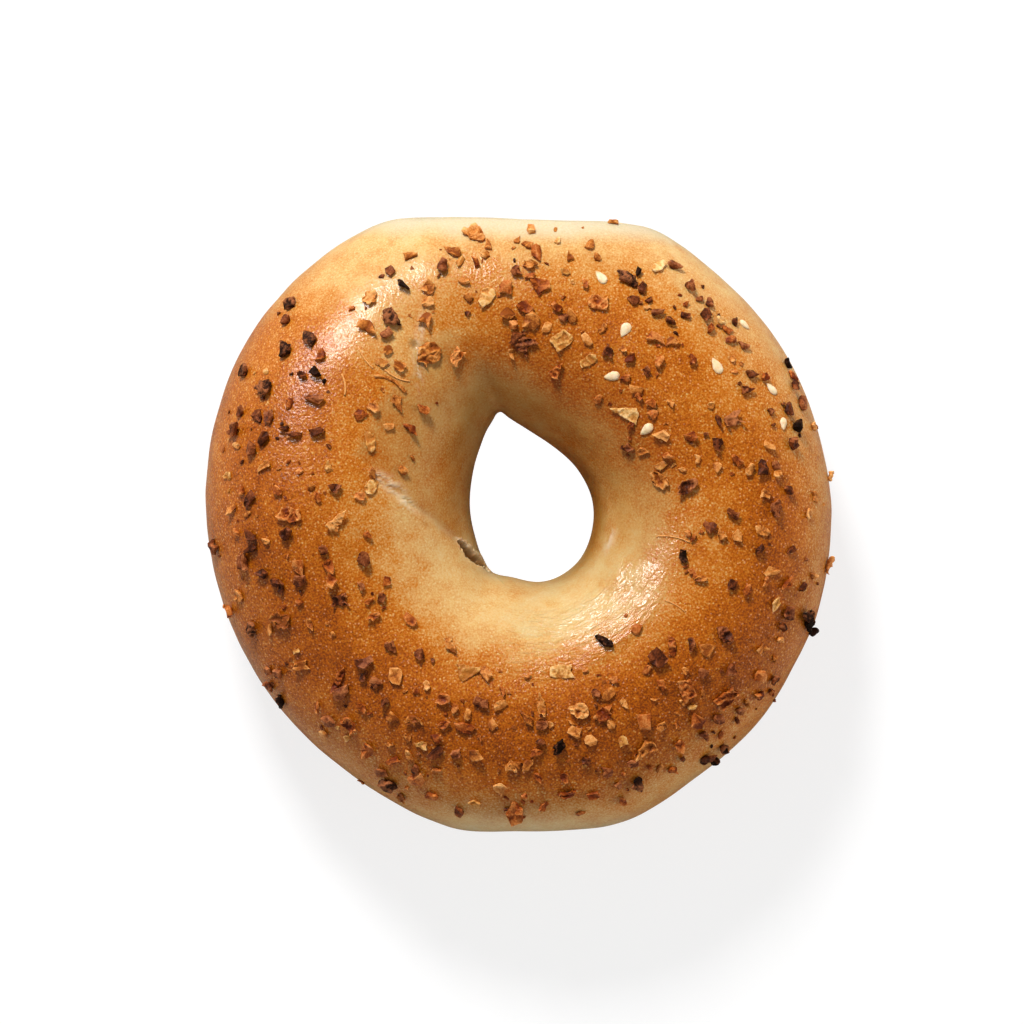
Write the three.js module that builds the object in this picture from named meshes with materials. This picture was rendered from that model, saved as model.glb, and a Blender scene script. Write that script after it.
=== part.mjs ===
// A boiled and baked bagel about 110 mm across, strewn with dried onion, garlic and sesame.
// Millimetres, +Z up. It rests on its flat underside, with the origin under its middle.
import * as THREE from "three";

// ---------------------------------------------------------------- dough: driving dimensions
const WAIST_HEIGHT = 16.5; // where the ring is widest and its hole narrowest
const BELLY_DROP = 20.5; // how far the round section would sink below the waist if nothing held it up
const SECTION_FULLNESS = 0.94; // under 1 squares the round section a little
const HOLE_CENTRE = new THREE.Vector2(2.4, 3.3); // the hole sits off the middle of the ring
const RING_STEPS = 112; // grid of the dough's surface, round the ring and round its section
const SECTION_STEPS = 36;
const KISS_EASE = 1.1; // how softly the side runs into a pressed flat

// Outlines seen from above: [bearing in degrees anticlockwise from +X, radius].
const RIM = [
  [0, 54.8], [30, 55.1], [50, 55.8], [68, 57.2], [90, 58.2], [120, 58.3], [142, 57.7], [160, 56.4],
  [180, 54.8], [200, 53.6], [220, 53.0], [240, 53.4], [256, 54.6], [272, 55.6], [290, 55.6],
  [302, 54.7], [330, 54.6],
];
const HOLE = [
  [0, 10.5], [35, 9.7], [65, 10.2], [86, 11.9], [99, 14.0], [105, 15.5], [110, 17.2], [115, 16.3],
  [121, 15.4], [136, 13.1], [160, 11.2], [185, 10.8], [210, 11.4], [226, 12.5], [239, 13.5],
  [254, 13.0], [276, 13.4], [305, 12.9], [330, 11.6],
];
// Height of the crown above the table: [bearing, height]. It dips over the hole's corner and the seam.
const CROWN = [
  [0, 37.4], [50, 38.2], [90, 37.2], [112, 36.2], [140, 37.6], [175, 38.4], [214, 36.4],
  [250, 37.4], [300, 38.2],
];
// Where the neighbouring pieces on the tray pressed a side flat.
const KISS_FLATS = [
  { bearing: 88, distance: 53.1 },
  { bearing: 271, distance: 54.0 },
];

// ---------------------------------------------------------------- toppings: driving dimensions
const REST_GAP = 0.35; // clearance between a topping and the crust under it
const SESAME_THICKNESS = 0.9;
const CHIP_THICKNESS = 0.6;
const FLAKE_THICKNESS = 0.8;
const CHAR_FLATNESS = 0.72; // a charred bit's thickness as a share of its width
const CHAR_LUMPINESS = 0.16;
const STRAND = { x: -22.4, y: 24.1, length: 6.2, bow: 0.8, width: 0.8, thickness: 0.6, turn: -28 };

// Outlines of the cut pieces, one unit long and one unit wide.
const CUT_OUTLINES = {
  chunk: [[-0.5, -0.2], [-0.3, -0.5], [0.15, -0.42], [0.5, -0.15], [0.42, 0.3], [0.05, 0.5],
    [-0.35, 0.38]],
  triangle: [[-0.5, 0.05], [-0.35, -0.1], [0.45, -0.5], [0.5, 0.15], [0.38, 0.5], [-0.1, 0.28]],
  sliver: [[-0.5, -0.1], [-0.1, -0.5], [0.35, -0.42], [0.5, 0.05], [0.2, 0.5], [-0.3, 0.38]],
  square: [[-0.5, -0.38], [0.1, -0.5], [0.5, -0.4], [0.46, 0.42], [-0.05, 0.5], [-0.46, 0.4]],
  fan: [[-0.5, -0.08], [-0.2, -0.3], [0.4, -0.5], [0.5, -0.15], [0.48, 0.2], [0.3, 0.5], [-0.25, 0.25]],
  fork: [[-0.5, -0.25], [0, -0.35], [0.45, -0.5], [0.2, -0.02], [0.5, 0.38], [0.1, 0.5], [-0.35, 0.3]],
  oval: [[-0.5, 0], [-0.38, -0.38], [0, -0.5], [0.38, -0.36], [0.5, 0.05], [0.36, 0.4], [-0.02, 0.5],
    [-0.36, 0.36]],
};

// Each topping lies at x, y on the crown, or on the rim at a bearing and a height z.
// Its length is turned by turn degrees from +X; a seed's turn points to its blunt end.
const SESAME_SEEDS = [
  { x: 14.2, y: 42.8, length: 3.0, width: 1.8, turn: -53 },
  { x: 18.3, y: 33.5, length: 2.9, width: 2.0, turn: 60 },
  { x: 16.0, y: 25.5, length: 3.1, width: 1.8, turn: 10 },
  { x: 34.2, y: 27.4, length: 3.3, width: 2.0, turn: -60 },
  { x: 39.2, y: 34.4, length: 2.6, width: 1.7, turn: 150 },
  { x: 43.7, y: 23.4, length: 2.8, width: 1.7, turn: -40 },
  { x: 22.0, y: 16.2, length: 3.0, width: 1.8, turn: 40 },
  { x: 45.8, y: 17.2, length: 2.6, width: 1.6, turn: 80 },
];
const GARLIC_CHIPS = [
  { x: -5.8, y: 39.0, length: 3.9, width: 3.0, turn: 60, cut: "fan" },
  { x: 7.4, y: 31.7, length: 3.8, width: 3.0, turn: 35, cut: "square" },
  { x: 18.3, y: 19.2, length: 5.0, width: 2.9, turn: -15, cut: "triangle" },
  { x: 12.0, y: 28.2, length: 3.9, width: 1.8, turn: 35, cut: "sliver" },
  { x: 24.0, y: 44.4, length: 3.6, width: 2.0, turn: 50, cut: "sliver" },
  { x: 7.3, y: -25.7, length: 4.2, width: 2.4, turn: 0, cut: "square" },
  { x: -8.7, y: -25.6, length: 3.8, width: 3.3, turn: 190, cut: "triangle" },
  { x: -25.7, y: 14.0, length: 3.9, width: 1.8, turn: 95, cut: "oval" },
  { x: -25.6, y: 6.4, length: 2.8, width: 2.2, turn: 40, cut: "chunk" },
];
const ONION_FLAKES = [
  { x: -7.8, y: 50.4, length: 4.0, width: 3.0, turn: -50, cut: "chunk", shade: "tan" },
  { x: -15.7, y: 29.4, length: 4.4, width: 4.0, turn: 20, cut: "chunk", shade: "tan" },
  { x: -10.9, y: 29.1, length: 3.6, width: 2.4, turn: 60, cut: "fork", shade: "toasted" },
  { x: -25.8, y: 38.9, length: 2.9, width: 2.4, turn: 45, cut: "oval", shade: "tan" },
  { x: -39.6, y: 1.5, length: 4.4, width: 2.6, turn: -5, cut: "oval", shade: "toasted" },
  { x: -31.5, y: 0.7, length: 4.6, width: 2.4, turn: 235, cut: "triangle", shade: "tan" },
  { x: -41.2, y: -16.8, length: 4.0, width: 3.0, turn: 0, cut: "oval", shade: "tan" },
  { x: -31.0, y: -13.3, length: 3.2, width: 2.4, turn: 15, cut: "fork", shade: "dark" },
  { x: -31.4, y: -27.2, length: 5.6, width: 1.3, turn: 62, cut: "sliver", shade: "toasted" },
  { x: -29.2, y: -34.9, length: 3.3, width: 2.3, turn: -50, cut: "square", shade: "toasted" },
  { x: -18.0, y: -34.2, length: 3.3, width: 2.0, turn: -10, cut: "chunk", shade: "tan" },
  { x: -11.9, y: -21.4, length: 3.5, width: 1.5, turn: -52, cut: "sliver", shade: "tan" },
  { x: 10.6, y: -32.4, length: 3.6, width: 2.7, turn: -35, cut: "chunk", shade: "tan" },
  { x: 14.6, y: -33.1, length: 3.8, width: 2.4, turn: 40, cut: "oval", shade: "toasted" },
  { x: 3.8, y: -31.8, length: 4.2, width: 1.5, turn: 100, cut: "sliver", shade: "tan" },
  { x: 29.0, y: -28.7, length: 3.6, width: 2.7, turn: -70, cut: "square", shade: "toasted" },
  { x: 36.0, y: -30.1, length: 3.9, width: 2.9, turn: 40, cut: "square", shade: "toasted" },
  { x: 21.6, y: -39.0, length: 4.4, width: 2.7, turn: 40, cut: "fan", shade: "tan" },
  { x: 35.6, y: -19.3, length: 3.8, width: 2.4, turn: -60, cut: "chunk", shade: "dark" },
  { x: 26.4, y: -21.1, length: 4.3, width: 1.4, turn: -84, cut: "sliver", shade: "toasted" },
  { x: 36.9, y: 17.9, length: 3.8, width: 2.6, turn: 30, cut: "fork", shade: "dark" },
  { x: 24.4, y: 7.6, length: 3.8, width: 2.4, turn: -35, cut: "oval", shade: "tan" },
  { x: 29.2, y: 6.3, length: 4.0, width: 2.3, turn: 25, cut: "chunk", shade: "dark" },
  { x: 13.7, y: 38.2, length: 3.6, width: 2.6, turn: -10, cut: "square", shade: "toasted" },
  { x: 6.7, y: 26.9, length: 3.3, width: 2.1, turn: 235, cut: "triangle", shade: "toasted" },
  { x: 0.7, y: 31.1, length: 4.4, width: 3.4, turn: -30, cut: "fork", shade: "dark" },
  { bearing: 8.8, z: 19, length: 2.0, width: 1.4, turn: 60, cut: "chunk", shade: "tan" },
  { bearing: -7.5, z: 21, length: 3.0, width: 1.5, turn: 75, cut: "sliver", shade: "toasted" },
];
const CHARRED_BITS = [
  { x: 15.0, y: -20.6, length: 4.3, width: 1.7, turn: -35 },
  { x: 28.5, y: -5.7, length: 3.2, width: 1.5, turn: 98 },
  { x: 50.0, y: -17.0, length: 5.0, width: 1.9, turn: -55 },
  { x: 6.9, y: -38.4, length: 2.8, width: 2.0, turn: 60 },
  { x: 35.4, y: -39.0, length: 2.8, width: 2.0, turn: -50 },
  { x: 20.5, y: -45.1, length: 3.0, width: 2.2, turn: -60 },
  { x: -46.2, y: -18.3, length: 2.9, width: 2.3, turn: 70 },
  { x: -22.5, y: -45.2, length: 3.3, width: 2.7, turn: 0 },
  { x: -41.5, y: -30.8, length: 3.4, width: 1.6, turn: 80 },
  { x: -43.7, y: 23.3, length: 3.2, width: 2.8, turn: 60 },
  { x: -39.8, y: 38.0, length: 2.9, width: 2.3, turn: 20 },
  { x: -22.1, y: 35.6, length: 3.4, width: 2.7, turn: -40 },
  { x: 18.9, y: 42.4, length: 4.0, width: 2.3, turn: -35 },
];

// ---------------------------------------------------------------- materials
const bakedCrust = new THREE.MeshStandardMaterial({ color: "#c4823c", roughness: 0.42, metalness: 0 });
const sesameHull = new THREE.MeshStandardMaterial({ color: "#e9d2a4", roughness: 0.5, metalness: 0 });
const paleGarlic = new THREE.MeshStandardMaterial({ color: "#d9a862", roughness: 0.6, metalness: 0 });
const charredSkin = new THREE.MeshStandardMaterial({ color: "#2b1710", roughness: 0.8, metalness: 0 });
const onionShades = {
  tan: new THREE.MeshStandardMaterial({ color: "#b9783f", roughness: 0.65, metalness: 0 }),
  toasted: new THREE.MeshStandardMaterial({ color: "#8a4a24", roughness: 0.7, metalness: 0 }),
  dark: new THREE.MeshStandardMaterial({ color: "#55291a", roughness: 0.75, metalness: 0 }),
};

// ---------------------------------------------------------------- dough
const radians = THREE.MathUtils.degToRad;

// A closed, smooth reading of [bearing, value] points at any bearing.
function roundTheRing(points) {
  const lead = points.slice(-2).map(([bearing, value]) => [bearing - 360, value]);
  const tail = points.slice(0, 2).map(([bearing, value]) => [bearing + 360, value]);
  const all = [...lead, ...points, ...tail];
  const bearings = all.map(([bearing]) => bearing);
  const values = all.map(([, value]) => value);
  const curve = new THREE.CubicInterpolant(bearings, values, 1);
  return (bearing) => curve.evaluate(THREE.MathUtils.euclideanModulo(bearing, 360))[0];
}
const rimRadius = roundTheRing(RIM);
const holeRadius = roundTheRing(HOLE);
const crownHeight = roundTheRing(CROWN);

function heading(bearing) {
  return new THREE.Vector2(Math.cos(radians(bearing)), Math.sin(radians(bearing)));
}

// Presses a point back behind a flat, running softly into it.
function pressFlat(point, { bearing, distance }) {
  const out = heading(bearing);
  const over = point.x * out.x + point.y * out.y - (distance - KISS_EASE);
  if (over > 0) {
    const pressed = KISS_EASE * (1 - Math.exp(-over / KISS_EASE));
    point.x -= out.x * (over - pressed);
    point.y -= out.y * (over - pressed);
  }
}

// The point of the crust at a bearing, and at an angle round the section from the rim over the crown.
function crustPoint(bearing, round) {
  const rim = heading(bearing).multiplyScalar(rimRadius(bearing));
  const hole = heading(bearing).multiplyScalar(holeRadius(bearing)).add(HOLE_CENTRE);
  const across = Math.cos(radians(round));
  const up = Math.sin(radians(round));
  const reach = Math.sign(across) * Math.abs(across) ** SECTION_FULLNESS;
  const plan = hole.lerp(rim, (1 + reach) / 2);
  const rise = up > 0 ? (crownHeight(bearing) - WAIST_HEIGHT) * up ** SECTION_FULLNESS : BELLY_DROP * up;
  const point = new THREE.Vector3(plan.x, plan.y, Math.max(0, WAIST_HEIGHT + rise));
  KISS_FLATS.forEach((flat) => pressFlat(point, flat));
  return point;
}

// A torus whose grid is laid over the crust, so its faces already close and point out.
function doughRing() {
  const geometry = new THREE.TorusGeometry(2, 1, SECTION_STEPS, RING_STEPS);
  const { position, uv } = geometry.attributes;
  for (let i = 0; i < position.count; i++) {
    const point = crustPoint(360 * uv.getX(i), 360 * uv.getY(i));
    position.setXYZ(i, point.x, point.y, point.z);
  }
  geometry.computeVertexNormals();
  const mesh = new THREE.Mesh(geometry, bakedCrust);
  mesh.name = "dough_ring";
  return mesh;
}

// ---------------------------------------------------------------- toppings
// A hulled seed: a flattened drop, round at one end and pointed at the other.
function sesameSeed({ length, width }) {
  const profile = [
    [0, -0.5], [0.13, -0.42], [0.34, -0.18], [0.49, 0.1], [0.42, 0.34], [0.22, 0.46], [0, 0.5],
  ];
  const points = profile.map(([radius, along]) => new THREE.Vector2(radius * width, along * length));
  const geometry = new THREE.LatheGeometry(points, 10);
  geometry.rotateZ(-Math.PI / 2);
  geometry.scale(1, 1, SESAME_THICKNESS / width);
  return geometry;
}

// A flat piece of one of the cut outlines, centred on its own middle.
function cutPiece({ cut, length, width }, thickness) {
  const corners = CUT_OUTLINES[cut].map(([x, y]) => new THREE.Vector2(x * length, y * width));
  const geometry = new THREE.ExtrudeGeometry(new THREE.Shape(corners), {
    depth: thickness,
    bevelEnabled: false,
  });
  return geometry.translate(0, 0, -thickness / 2);
}

// A burnt lump: a round body with shallow knobs, each one's own by its phase.
function charredBit({ length, width }, phase) {
  const geometry = new THREE.IcosahedronGeometry(0.5, 1);
  const { position } = geometry.attributes;
  const knob = new THREE.Vector3();
  for (let i = 0; i < position.count; i++) {
    knob.fromBufferAttribute(position, i);
    const swell = Math.sin(7 * knob.x + 5 * knob.y + phase) * Math.cos(6 * knob.z - 4 * knob.y + phase);
    knob.multiplyScalar(1 + CHAR_LUMPINESS * swell);
    position.setXYZ(i, knob.x, knob.y, knob.z);
  }
  return geometry.scale(length, width, width * CHAR_FLATNESS);
}

// A thin bowed shred, its section carried along an arc.
function onionStrand({ length, bow, width, thickness }) {
  const half = length / 2;
  const path = new THREE.QuadraticBezierCurve3(
    new THREE.Vector3(-half, 0, 0),
    new THREE.Vector3(0, 2 * bow, 0),
    new THREE.Vector3(half, 0, 0),
  );
  const section = new THREE.Shape().absellipse(0, 0, thickness / 2, width / 2, 0, 2 * Math.PI);
  return new THREE.ExtrudeGeometry(section, {
    steps: 8,
    curveSegments: 2,
    bevelEnabled: false,
    extrudePath: path,
  });
}

// Where a topping touches the crust, and the way the crust faces there.
function landing(dough, { x, y, bearing, z }) {
  const away = 100;
  const from = new THREE.Vector3(x, y, away);
  const towards = new THREE.Vector3(0, 0, -1);
  if (bearing !== undefined) {
    const out = heading(bearing);
    from.set(out.x * away, out.y * away, z);
    towards.set(-out.x, -out.y, 0);
  }
  const [hit] = new THREE.Raycaster(from, towards).intersectObject(dough);
  return { point: hit.point, facing: hit.face.normal };
}

// Lays a piece on the crust: its own +Z along the crust's facing, lifted clear by the rest gap.
function layOn(dough, name, geometry, material, place) {
  const { point, facing } = landing(dough, place);
  geometry.computeBoundingBox();
  const mesh = new THREE.Mesh(geometry, material);
  mesh.name = name;
  mesh.quaternion.setFromUnitVectors(new THREE.Vector3(0, 0, 1), facing);
  mesh.rotateZ(radians(place.turn));
  mesh.position.copy(point).addScaledVector(facing, REST_GAP - geometry.boundingBox.min.z);
  return mesh;
}

// ---------------------------------------------------------------- assembly
const assembly = new THREE.Group();
const dough = doughRing();
assembly.add(dough);
SESAME_SEEDS.forEach((place, i) => {
  assembly.add(layOn(dough, `sesame_seed_${i + 1}`, sesameSeed(place), sesameHull, place));
});
GARLIC_CHIPS.forEach((place, i) => {
  const chip = cutPiece(place, CHIP_THICKNESS);
  assembly.add(layOn(dough, `garlic_chip_${i + 1}`, chip, paleGarlic, place));
});
ONION_FLAKES.forEach((place, i) => {
  const flake = cutPiece(place, FLAKE_THICKNESS);
  assembly.add(layOn(dough, `onion_flake_${i + 1}`, flake, onionShades[place.shade], place));
});
CHARRED_BITS.forEach((place, i) => {
  assembly.add(layOn(dough, `charred_bit_${i + 1}`, charredBit(place, i), charredSkin, place));
});
assembly.add(layOn(dough, "onion_strand", onionStrand(STRAND), onionShades.tan, STRAND));

// The middle of the whole piece goes over the origin.
const middle = new THREE.Box3().setFromObject(assembly, true).getCenter(new THREE.Vector3());
assembly.position.set(-middle.x, -middle.y, 0);

const bagel = new THREE.Group();
bagel.add(assembly);

export default bagel;
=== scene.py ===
import math
import random

import bmesh
import bpy
from mathutils import Matrix, Vector, geometry, noise
from mathutils.bvhtree import BVHTree


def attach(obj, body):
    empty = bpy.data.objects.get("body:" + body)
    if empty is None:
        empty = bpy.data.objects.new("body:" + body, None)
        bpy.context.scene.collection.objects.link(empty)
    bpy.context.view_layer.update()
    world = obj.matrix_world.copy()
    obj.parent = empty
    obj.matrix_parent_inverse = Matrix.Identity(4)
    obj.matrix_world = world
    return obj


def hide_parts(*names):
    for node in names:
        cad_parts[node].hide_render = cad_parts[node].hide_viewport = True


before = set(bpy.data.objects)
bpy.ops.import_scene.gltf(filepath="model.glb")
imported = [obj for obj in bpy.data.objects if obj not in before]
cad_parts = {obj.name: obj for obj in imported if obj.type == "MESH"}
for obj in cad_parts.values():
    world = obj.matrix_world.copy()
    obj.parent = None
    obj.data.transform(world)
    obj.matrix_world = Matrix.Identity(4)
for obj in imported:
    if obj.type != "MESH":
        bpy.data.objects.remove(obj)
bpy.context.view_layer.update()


# ------------------------------------------------------------------ dough ring
# One piece of dough, boiled and then baked until its skin turned glossy and amber on the crown. The
# sides that touched other bagels stayed pale and flat, and the slope into the hole stayed
# straw coloured. It is shaped from the imported ring, made finer, and worked over.
MM = 0.001
GRAIN_SEED = 11.0
HOLE_MIDDLE = Vector((2.2, 3.3))  # in millimetres, as are the lines and places below
SEAM_LINE = [(-5.2, -8.2), (-10.6, -3.1), (-17.0, 2.0), (-24.0, 7.0)]
TEAR_LINE = [(-10.7, -2.9), (-8.9, -5.2), (-5.3, -8.0)]
FINE_PLACES = [  # a line, and how far from it the skin is split finer
    (SEAM_LINE, 3.8), ([(-17.2, 35.0), (-17.8, 25.0)], 2.8), (TEAR_LINE, 2.1),
    ([(-3.5, 19.4), (-3.3, 19.2)], 2.0)]
STRETCH_MARKS = [  # x, y, length, width and turn of a patch of pale torn strands
    (-21.8, 6.4, 3.4, 1.5, -42), (-19.6, 3.8, 2.6, 1.2, -42), (-24.3, 8.3, 1.6, 1.2, -20),
    (-17.6, 28.5, 5.5, 1.0, 92), (-17.0, 34.2, 3.0, 0.9, 80), (15.7, -3.0, 2.8, 0.8, 72)]
PITS = [(-18.4, 31.0, 0.7)]  # x, y and reach
HOLE_POINT = Vector((-3.4, 19.4))  # the sharp top of the hole
SHADE_LINE = [  # on the left, shade is painted on the side of this line where the hole is
    (-4.0, 33.0), (-14.0, 33.2), (-18.0, 30.0), (-19.2, 26.0), (-24.8, 20.5), (-28.6, 12.0),
    (-22.8, 7.2), (-16.3, 0.6), (-9.0, -5.0)]
PRESSED_SIDES = [(88, 53.1, 1.0), (271, 54.0, 0.35)]  # bearing, distance and paleness of each flat
CREASED_SIDE = 300  # the bearing where the slope into the hole is most wrinkled and glossy
# How brown the skin is. Each row is a bearing, then where the brown band lies across the ring
# (0 faces out at the rim, 90 is the crown, 180 faces the hole), then how brown it is in the
# band, out at the rim, and down in the hole.
BROWNING = [
    (0, 62, 0.99, 0.72, 0.36), (30, 98, 0.88, 0.56, 0.50), (60, 104, 0.93, 0.34, 0.56),
    (90, 108, 0.88, 0.14, 0.42), (120, 106, 0.46, 0.36, 0.36), (150, 66, 0.94, 0.86, 0.42),
    (180, 54, 1.05, 0.90, 0.38), (210, 72, 1.02, 0.94, 0.28), (240, 78, 1.05, 0.62, 0.22),
    (270, 82, 1.09, 0.26, 0.22), (300, 76, 1.12, 0.52, 0.18), (330, 64, 1.06, 0.82, 0.20)]
SHADED_SIDE = 50  # the bearing where the most shade is painted on the slope into the hole, away from the shade line
DEEP_SHADE_SIDE = 5  # the bearing where the most shade is painted on the wall of the hole, low down
UNDERSIDE_BROWN = 0.62
# How far each kind of shape stands out of the skin, in millimetres.
LUMP, RIPPLE, FOLD, LIP, SCAR = 0.42, 0.13, 0.3, 0.35, 0.22
# How deep each kind goes into it.
CREASE, TEAR, PIT, POINT = 0.35, 0.9, 0.6, 0.25


def heading(bearing):
    """The level direction at a bearing in degrees, anticlockwise from +X."""
    return Vector((math.cos(math.radians(bearing)), math.sin(math.radians(bearing))))


def smoothstep(low, high, value):
    """0 below low, 1 above high, and eased in between."""
    share = min(1.0, max(0.0, (value - low) / (high - low)))
    return share * share * (3 - 2 * share)


def read_round(rows, angle):
    """The eased row at an angle of a list of (angle, values ...) rows that closes on itself."""
    closed = rows + [(rows[0][0] + 360, *rows[0][1:])]
    for low, high in zip(closed, closed[1:]):
        if low[0] <= angle <= high[0]:
            share = smoothstep(low[0], high[0], angle)
            return [a + (b - a) * share for a, b in zip(low[1:], high[1:])]
    return list(rows[0][1:])


def brown_at(bearing, lift):
    """How brown the skin is at a bearing, where it is tilted up by lift degrees from facing out."""
    band, crown, rim, hole = read_round(BROWNING, bearing % 360)
    if lift < -90:
        lift += 360
    if lift > band:
        value = crown + (hole - crown) * smoothstep(band, 134, lift)
        return value + (UNDERSIDE_BROWN - value) * smoothstep(190, 250, lift)
    value = crown + (rim - crown) * smoothstep(band, 20, lift)
    return value + (UNDERSIDE_BROWN - value) * smoothstep(-15, -60, lift)


def from_line(spot, line):
    """Distance from a level spot to a bent line, the share of the way along it, and the side."""
    best = (1e9, 0.0, 0.0)
    for step, (start, end) in enumerate(zip(line, line[1:])):
        a, b = Vector(start), Vector(end)
        near, share = geometry.intersect_point_line(spot, a, b)
        share = min(1.0, max(0.0, share))
        gap = spot - a.lerp(b, share)
        side = (b - a).cross(spot - a)
        if gap.length < best[0]:
            best = (gap.length, (step + share) / (len(line) - 1), math.copysign(1.0, side))
    return best


def merged_copy(node):
    """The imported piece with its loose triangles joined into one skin."""
    skin = bmesh.new()
    skin.from_mesh(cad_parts[node].data)
    bmesh.ops.remove_doubles(skin, verts=skin.verts, dist=0.004 * MM)
    return skin


def as_object(name, skin):
    """An object at the origin that holds a finished skin, shaded smooth."""
    mesh = bpy.data.meshes.new(name)
    skin.to_mesh(mesh)
    skin.free()
    mesh.shade_smooth()
    piece = bpy.data.objects.new(name, mesh)
    bpy.context.scene.collection.objects.link(piece)
    return piece


def settled(piece, kind, **settings):
    """The mesh of a piece after one modifier has done its work."""
    change = piece.modifiers.new("change", kind)
    for key, value in settings.items():
        setattr(change, key, value)
    done = piece.evaluated_get(bpy.context.evaluated_depsgraph_get())
    mesh = bpy.data.meshes.new_from_object(done)
    piece.modifiers.clear()
    return mesh


def point_values(piece, name, values):
    """Stores one number for each vertex under a name that materials can read."""
    layer = piece.data.attributes.new(name, "FLOAT", "POINT")
    layer.data.foreach_set("value", values)


ring = merged_copy("dough_ring")
bmesh.ops.join_triangles(ring, faces=ring.faces, angle_face_threshold=math.pi,
                         angle_shape_threshold=math.pi)
crust = as_object("crust", ring)
crust.data = settled(crust, "SUBSURF", levels=2, render_levels=2)

fine = bmesh.new()
fine.from_mesh(crust.data)
for line, reach in FINE_PLACES:
    close = {vertex for vertex in fine.verts
             if vertex.co.z > 9 * MM and from_line(vertex.co.xy / MM, line)[0] < reach}
    edges = [edge for edge in fine.edges if close.issuperset(edge.verts)]
    bmesh.ops.subdivide_edges(fine, edges=edges, cuts=1, use_grid_fill=True)
fine.normal_update()
fine.to_mesh(crust.data)
fine.free()

# Every point is moved by the lumps, seam, tear, marks and pits near it, and keeps how brown, pale,
# torn, scarred and creased its skin is and how much painted shade it takes, for the material to read.
browning, paleness, torn_and_shaded, scarring, hole_shading, creasing = [], [], [], [], [], []
moved = []
grain = Vector((GRAIN_SEED, 0, 0))
for vertex in crust.data.vertices:
    spot = vertex.co / MM
    level = spot.xy
    out = (level - HOLE_MIDDLE).normalized()
    facing = vertex.normal
    lift = math.degrees(math.atan2(facing.z, facing.xy.dot(out)))
    bearing = math.degrees(math.atan2(level.y, level.x)) % 360
    upper = smoothstep(12, 24, spot.z)

    lumps = noise.noise(spot / 17 + grain)
    ripples = noise.noise(spot / 5.5 + grain)
    brown = brown_at(bearing, lift)
    brown += 0.12 * noise.noise(spot / 8 - grain) + 0.08 * noise.noise(spot / 2.6 - grain)

    pressed = 0.0
    for side, distance, pale in PRESSED_SIDES:
        reach = level.dot(heading(side)) + 0.8 * noise.noise(spot / 6 + grain)
        pressed = max(pressed, pale * smoothstep(distance - 4.5, distance - 0.9, reach))

    seam_gap, seam_share, seam_side = from_line(level, SEAM_LINE)
    crease = upper * math.exp(-((seam_gap / 0.6) ** 2)) * (1 - 0.6 * seam_share)
    fold = upper * seam_side * math.exp(-seam_gap / 2.0) * smoothstep(0.0, 0.5, seam_gap)
    fold *= 1 - seam_share
    tear_gap, tear_share, tear_side = from_line(level, TEAR_LINE)
    ragged = tear_gap + 0.30 * noise.noise(spot / 0.6 + grain)
    gape = 0.9 * math.sin(math.pi * (0.06 + 0.9 * tear_share)) ** 0.7
    torn = upper * smoothstep(gape, gape - 0.35, ragged)
    lip = upper * smoothstep(0.6, 0.0, ragged - gape) * (1 - torn) * (1.0 if tear_side > 0 else 0.3)
    scar = 0.0
    for x, y, length, width, turn in STRETCH_MARKS:
        away = level - Vector((x, y))
        along, across = away.dot(heading(turn)) / length, away.dot(heading(turn + 90)) / width
        place = Vector((across * width / 0.5, along * length / 2.2, x)) + grain
        strands = 1.5 * max(0.0, 1.1 - 3.4 * abs(noise.noise(place)))
        scar = max(scar, upper * math.exp(-2 * (along ** 2 + across ** 2)) * strands)
    pit = upper * max(math.exp(-((level - Vector((x, y))).length / reach) ** 2) for x, y, reach in PITS)
    point = POINT * max(0.0, 1 - (level - HOLE_POINT).length / 1.7) ** 1.5

    push = LUMP * lumps + RIPPLE * ripples - CREASE * crease + FOLD * fold - TEAR * torn + LIP * lip
    push += SCAR * scar - PIT * pit
    push = push * smoothstep(0.0, 3.0, spot.z) - point
    moved.append(vertex.co + facing * (push * MM))
    paleness.append(pressed)
    # The tear and the pits are coloured dark: painted shade in the hollow.
    torn_and_shaded.append(max(torn, 0.8 * pit))
    scarring.append(min(1.0, scar + 0.3 * crease + 0.9 * lip))
    # Painted shade on the slope and the low wall of the hole that face away from the light, and on the hole
    # side of the shade line.
    turned = max(0.0, math.cos(math.radians(bearing - SHADED_SIDE))) ** 0.6
    hole_shade = turned * smoothstep(92, 122, lift)
    line_gap, _, line_side = from_line(level, SHADE_LINE)
    inside = smoothstep(-1.1, 1.1, line_gap * line_side + 1.2 * noise.noise(spot / 2.2 + grain))
    lined = smoothstep(95, 118, bearing) * smoothstep(205, 190, bearing) * upper
    hole_shade += (inside - hole_shade) * lined
    brown -= 0.32 * lined * inside * smoothstep(110, 86, lift)
    deep_shade = max(0.0, math.cos(math.radians(bearing - DEEP_SHADE_SIDE))) ** 1.2 * smoothstep(138, 172, lift)
    browning.append(min(1.2, max(0.0, brown * (1 - 0.35 * crease))))
    hole_shading.append(max((0.62 - 0.12 * lined) * hole_shade * smoothstep(164, 140, lift), deep_shade) * upper)
    creased = smoothstep(75, 20, abs((bearing - CREASED_SIDE + 180) % 360 - 180))
    creasing.append(creased * smoothstep(90, 108, lift) * smoothstep(150, 130, lift))
for vertex, place in zip(crust.data.vertices, moved):
    vertex.co = place
point_values(crust, "browning", browning)
point_values(crust, "pressed", paleness)
point_values(crust, "torn", torn_and_shaded)
point_values(crust, "scarred", scarring)
point_values(crust, "painted_shade", hole_shading)
point_values(crust, "creased", creasing)


def add(tree, kind, feeds=None, **settings):
    """Adds a shader node, sets it up, and feeds its inputs with values or with other nodes' outputs."""
    made = tree.nodes.new(kind)
    for key, value in settings.items():
        setattr(made, key, value)
    for name, value in (feeds or {}).items():
        if isinstance(value, bpy.types.NodeSocket):
            tree.links.new(value, made.inputs[name])
        else:
            made.inputs[name].default_value = value
    return made


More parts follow.
